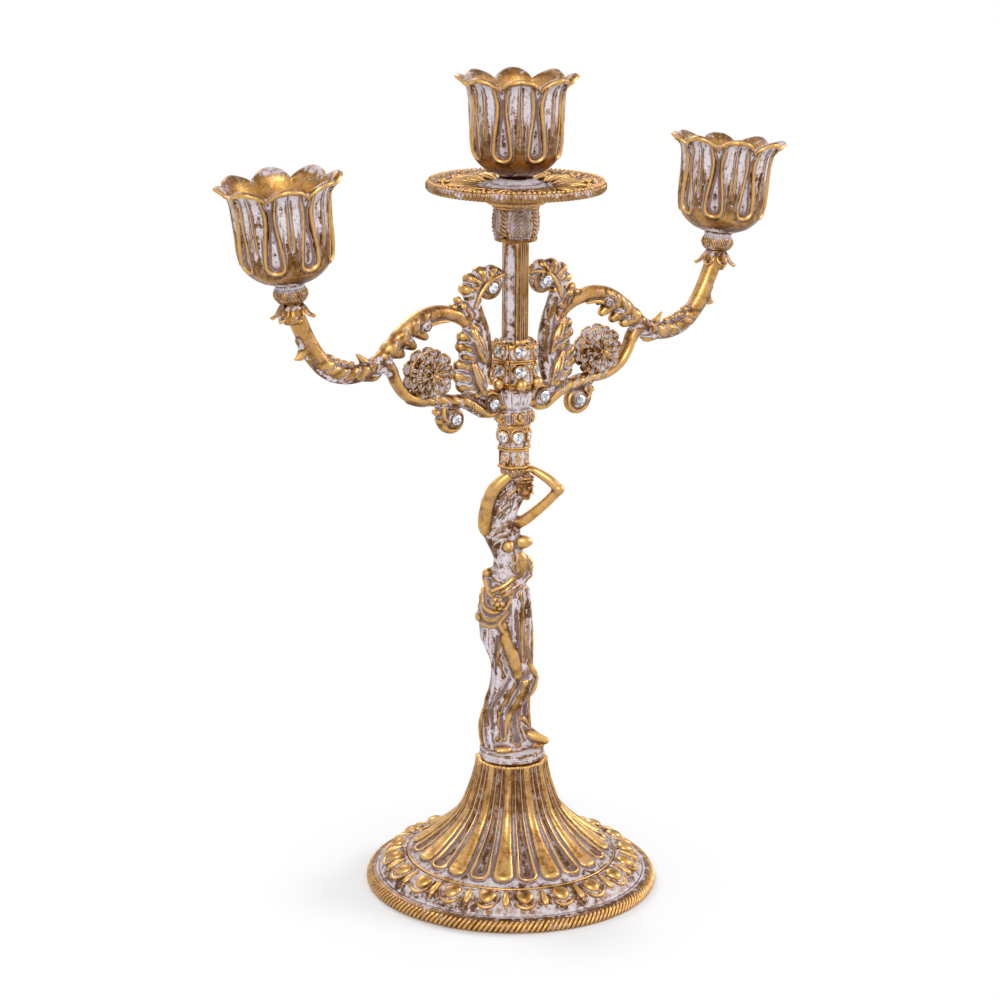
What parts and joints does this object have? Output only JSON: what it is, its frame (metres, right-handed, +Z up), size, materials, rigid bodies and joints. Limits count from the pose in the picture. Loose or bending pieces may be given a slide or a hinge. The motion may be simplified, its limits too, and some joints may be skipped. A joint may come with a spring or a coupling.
{
  "type": "candelabrum",
  "caption": "Table candelabrum: round fluted foot, draped figure stem, scrolling arms with rosettes and glass stones, tulip cups and a drip pan under the middle one.",
  "frame": {"origin": "middle of the foot, on the plane it rests on", "axes": "+Z up along the stem, arms along X, the figure looks towards -Y"},
  "size_m": [0.3142, 0.1428, 0.399],
  "materials": {
    "antique_gold": "rubbed antique gold with a pale wash in the hollows",
    "washed_patina": "pale lilac-white wash over antique gold",
    "plain_brass": "plain turned brass, satin",
    "zinc_steel": "zinc-plated threaded steel",
    "cut_glass": "clear faceted glass with a foiled back"
  },
  "bodies": {
    "root": {"base_foot": "antique_gold", "caryatid_figure": "antique_gold", "lower_stem": "antique_gold", "stone_collar": "antique_gold", "capital": "antique_gold", "drip_pan": "antique_gold", "centre_tulip": "antique_gold", "left_arm": "antique_gold", "left_cup_ring": "antique_gold", "left_tulip": "antique_gold", "right_arm": "antique_gold", "right_cup_ring": "antique_gold", "right_tulip": "antique_gold", "arm_hub": "washed_patina", "shaft": "washed_patina", "left_rosette": "washed_patina", "right_rosette": "washed_patina", "centre_candle_socket": "plain_brass", "left_candle_socket": "plain_brass", "right_candle_socket": "plain_brass", "foot_stud": "zinc_steel", "foot_washer": "zinc_steel", "foot_nut": "zinc_steel", "tie_rod": "zinc_steel", "left_cup_stud": "zinc_steel", "right_cup_stud": "zinc_steel", "left_scroll_stone_front_1": "cut_glass", "left_scroll_stone_back_1": "cut_glass", "left_scroll_stone_front_2": "cut_glass", "left_scroll_stone_back_2": "cut_glass", "left_scroll_stone_front_3": "cut_glass", "left_scroll_stone_back_3": "cut_glass", "right_scroll_stone_front_1": "cut_glass", "right_scroll_stone_back_1": "cut_glass", "right_scroll_stone_front_2": "cut_glass", "right_scroll_stone_back_2": "cut_glass", "right_scroll_stone_front_3": "cut_glass", "right_scroll_stone_back_3": "cut_glass", "stem_stone_1": "cut_glass", "stem_stone_2": "cut_glass", "stem_stone_3": "cut_glass", "stem_stone_4": "cut_glass", "stem_stone_5": "cut_glass", "stem_stone_6": "cut_glass", "collar_stone_lower_1": "cut_glass", "collar_stone_upper_1": "cut_glass", "collar_stone_lower_2": "cut_glass", "collar_stone_upper_2": "cut_glass", "collar_stone_lower_3": "cut_glass", "collar_stone_upper_3": "cut_glass", "collar_stone_lower_4": "cut_glass", "collar_stone_upper_4": "cut_glass", "collar_stone_lower_5": "cut_glass", "collar_stone_upper_5": "cut_glass", "collar_stone_lower_6": "cut_glass", "collar_stone_upper_6": "cut_glass"}
  },
  "joints": []
}
